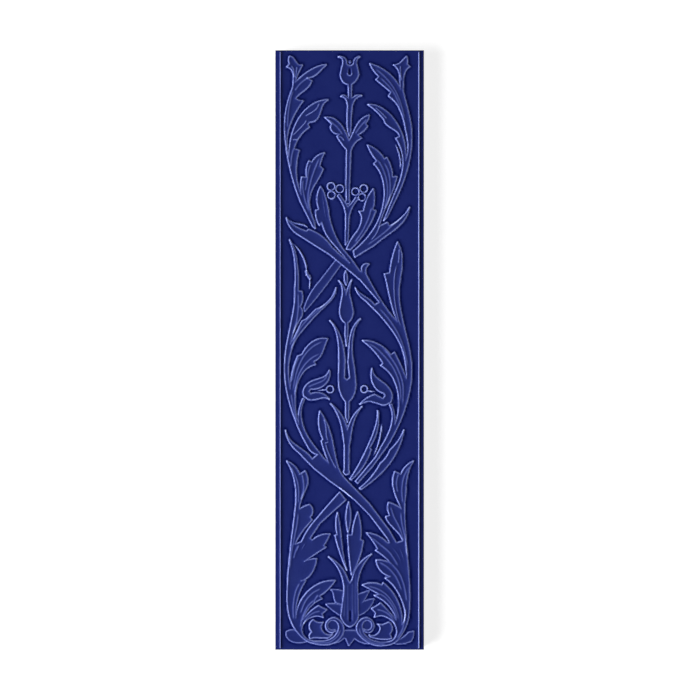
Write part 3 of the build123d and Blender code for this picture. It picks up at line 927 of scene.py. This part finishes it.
    def settle(self, places: np.ndarray) -> np.ndarray:
        """Draw the corners that lie beside a rim onto its crest, so that the crest runs clean.

        Args:
            places: The corners' places.

        Returns:
            Their new places.
        """
        relief = self.relief
        probe = np.array([[relief.cell, 0.0], [0.0, relief.cell]])
        pull = self.pull * self.coarse_cell / 2 ** len(self.bands)
        for form, profile in ((Form.UNDER, relief.under), (Form.LEAF, relief.leaf)):
            edge = relief.edges[form]
            short = profile.slope - relief.read(edge, places)
            uphill = [relief.read(edge, places + step) - relief.read(edge, places - step) for step in probe]
            uphill = np.stack(uphill, axis=1) / (2 * relief.cell)
            places = places + np.where(np.abs(short) < pull, short, 0)[:, None] * uphill
        return places

    def face_cells(self, mesh: bmesh.types.BMesh) -> list[bmesh.types.BMFace]:
        """The cells of the glazed face, which lies above the open top of the sides."""
        floor = (self.relief.field - self.arris) * MM
        return [face for face in mesh.faces if all(vert.co.z > floor for vert in face.verts)]

    def close(self, mesh: bmesh.types.BMesh, face: list[bmesh.types.BMVert]) -> None:
        """Round the arris, paint it dark as shade, and join the face to the sides.

        Args:
            mesh: The mesh.
            face: The face's corners.
        """
        depth = mesh.verts.layers.float[DEPTH]
        loop = [edge for edge in {e for v in face for e in v.link_edges} if edge.is_boundary]
        run, drop = 0.0, 0.0
        turns = [math.pi / 2 * n / self.arris_rings for n in range(1, self.arris_rings + 1)]
        rings = [(self.arris * math.sin(turn), self.arris * (1 - math.cos(turn))) for turn in turns]
        rings.append((self.arris, self.seam_drop))
        for out, down in rings:
            made = bmesh.ops.extrude_edge_only(mesh, edges=loop)["geom"]
            verts = [part for part in made if isinstance(part, bmesh.types.BMVert)]
            loop = [part for part in made if isinstance(part, bmesh.types.BMEdge) and part.is_boundary]
            halves = self.half_width - self.arris, self.half_length - self.arris
            scale = [(half + out) / (half + run) for half in halves]
            bmesh.ops.scale(mesh, vec=(*scale, 1.0), verts=verts)
            bmesh.ops.translate(mesh, vec=(0, 0, (drop - down) * MM), verts=verts)
            run, drop = out, down
            for ring_face in {part for vert in verts for part in vert.link_faces}:
                ring_face.smooth = True
            for vert in verts:
                # The arris rings take the darkest glaze colour: painted shade on the arris.
                vert[depth] = self.arris_shade_depth
        self.weld(mesh, {vert for edge in loop for vert in edge.verts})

    def weld(self, mesh: bmesh.types.BMesh, ring: set[bmesh.types.BMVert]) -> None:
        """Divide the top of the sides as the face's rim is divided, and merge the two.

        Args:
            mesh: The mesh.
            ring: The corners at the lower end of the face's rim.
        """
        rim = [vert.co.copy() for vert in ring]
        for axis, other in ((0, 1), (1, 0)):
            bare = [e for e in mesh.edges if e.is_boundary and e.calc_length() > 2 * self.coarse_cell * MM]
            sides = [e for e in bare if abs(e.verts[0].co[other] - e.verts[1].co[other]) < MM]
            made = bmesh.ops.subdivide_edges(mesh, edges=sides, cuts=self.counts[axis] - 1)
            cuts = [part for part in made["geom_inner"] if isinstance(part, bmesh.types.BMVert)]
            reach = max(abs(place[other]) for place in rim)
            for side in (-reach, reach):
                above = sorted(p[axis] for p in rim if abs(p[other] - side) < self.slack * MM)
                below = sorted((v for v in cuts if v.co[other] * side > 0), key=lambda v: v.co[axis])
                for vert, place in zip(below, above[1:-1]):
                    vert.co[axis] = place
        bmesh.ops.remove_doubles(mesh, verts=mesh.verts, dist=0.5 * self.slack * MM)

    def dress(self, tile: bpy.types.Object) -> None:
        """Glaze the face and leave the lower sides and the back bare.

        Args:
            tile: The tile's object.
        """
        material = bpy.data.materials.new("glazed_porcelain")
        material.use_nodes = True
        nodes = Shader(material.node_tree)
        place = nodes.node("ShaderNodeTexCoord", output="Object")
        height = nodes.node("ShaderNodeSeparateXYZ", {}, {0: place}, "Z")
        line = (self.relief.field - self.glaze_lap) * MM
        wander = (nodes.noise(self.lap_scale, detail=3.0) - 0.5) * (self.lap_wander * MM)
        share = (height + wander).step(line - self.lap_fade * MM, line + self.lap_fade * MM)
        inputs = {0: share, 1: Biscuit().shader(nodes), 2: Glaze().shader(nodes)}
        surface = nodes.node("ShaderNodeMixShader", {}, inputs)
        nodes.node("ShaderNodeOutputMaterial", {}, {"Surface": surface})
        tile.data.materials.append(material)


@dataclass(frozen=True)
class Lamp:
    """A soft square lamp that points at the tile, in metres and watts."""

    name: str
    place: tuple[float, float, float]
    size: float
    power: float

    def hang(self) -> None:
        """Put the lamp in the scene. The glaze mirrors the room, and not the lamps."""
        light = bpy.data.lights.new(self.name, "AREA")
        light.size = self.size
        light.energy = self.power
        lamp = bpy.data.objects.new(self.name, light)
        lamp.location = self.place
        lamp.rotation_euler = lamp.location.to_track_quat("Z", "Y").to_euler()
        lamp.visible_glossy = False
        bpy.context.scene.collection.objects.link(lamp)


@dataclass
class Studio:
    """The floor, the light and the camera, in metres."""

    top: float
    key: Lamp = Lamp("key_lamp", (-1.2, -0.45, 0.5), 1.3, 66.0)
    fill: Lamp = Lamp("fill_lamp", (1.0, 0.5, 0.9), 1.2, 8.0)
    aside: float = 0.0002
    frame_width: float = 0.3531
    lens: float = 100.0
    sensor: float = 36.0
    floor_size: float = 6.0
    floor_colour: Colour = srgb(168, 168, 168)
    floor_glow: float = 0.75
    mirrored_glow: float = 0.2
    ceiling_level: float = 0.02
    wall_level: float = 0.08
    wall_top: tuple[float, float] = (0.3, 0.8)

    def build(self) -> None:
        """Set the stage."""
        self.floor()
        self.world()
        self.key.hang()
        self.fill.hang()
        self.camera()

    def floor(self) -> None:
        """Lay a white floor that still takes a shadow."""
        mesh = bmesh.new()
        bmesh.ops.create_grid(mesh, x_segments=1, y_segments=1, size=self.floor_size / 2)
        data = bpy.data.meshes.new("floor")
        mesh.to_mesh(data)
        mesh.free()
        floor = bpy.data.objects.new("floor", data)
        bpy.context.scene.collection.objects.link(floor)
        material = bpy.data.materials.new("white_floor")
        material.use_nodes = True
        nodes = Shader(material.node_tree)
        seen = self.seen(nodes, "Is Camera Ray")
        mirrored = self.seen(nodes, "Is Glossy Ray", "Is Transmission Ray")
        paper = nodes.node("ShaderNodeBsdfDiffuse", {}, {"Color": self.floor_colour})
        strength = seen * self.floor_glow + mirrored * self.mirrored_glow
        glow = nodes.node("ShaderNodeEmission", {}, {"Strength": strength})
        both = nodes.node("ShaderNodeAddShader", {}, {0: paper, 1: glow})
        nodes.node("ShaderNodeOutputMaterial", {}, {"Surface": both})
        data.materials.append(material)

    def seen(self, nodes: Shader, *rays: str) -> Value:
        """Whether a place is met by one of these kinds of ray, as 1 or 0."""
        kinds = [nodes.node("ShaderNodeLightPath", output=ray) for ray in rays]
        return sum(kinds[1:], kinds[0])

    def world(self) -> None:
        """Light the room from its walls, under a dark ceiling, and show it white to the camera."""
        world = bpy.data.worlds.new("studio")
        bpy.context.scene.world = world
        world.use_nodes = True
        nodes = Shader(world.node_tree)
        seen = self.seen(nodes, "Is Camera Ray")
        way = nodes.node("ShaderNodeTexCoord", output="Generated")
        up = nodes.node("ShaderNodeSeparateXYZ", {}, {0: way}, "Z").step(*self.wall_top)
        lit = self.wall_level + up * (self.ceiling_level - self.wall_level)
        level = lit + seen * (1 - lit)
        room = nodes.node("ShaderNodeBackground", {}, {"Strength": level})
        nodes.node("ShaderNodeOutputWorld", {}, {"Surface": room})

    def camera(self) -> None:
        """Look straight down on the tile, with the top of the ornament up."""
        lens = bpy.data.cameras.new("camera")
        lens.lens = self.lens
        lens.sensor_width = self.sensor
        camera = bpy.data.objects.new("camera", lens)
        camera.location = (self.aside, 0.0, self.top + self.frame_width * self.lens / self.sensor)
        bpy.context.scene.collection.objects.link(camera)
        bpy.context.scene.camera = camera


def main() -> None:
    """Load the frame, build the tile and its studio, and log the tile's triangle count."""
    logging.basicConfig(level=logging.INFO, format="%(name)s: %(message)s")
    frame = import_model()
    bpy.context.scene.view_settings.view_transform = "Standard"
    low, high = (np.array(corner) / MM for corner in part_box(NODE))
    maker = Tile(frame["nodes"][NODE], low, high)
    tile = maker.build()
    maker.dress(tile)
    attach(tile, BODY)
    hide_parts(NODE)
    triangles = sum(len(face.vertices) - 2 for face in tile.data.polygons)
    LOG.info("%s: %d triangles", tile.name, triangles)
    Studio(maker.relief.field * MM).build()


if __name__ == "__main__":
    main()
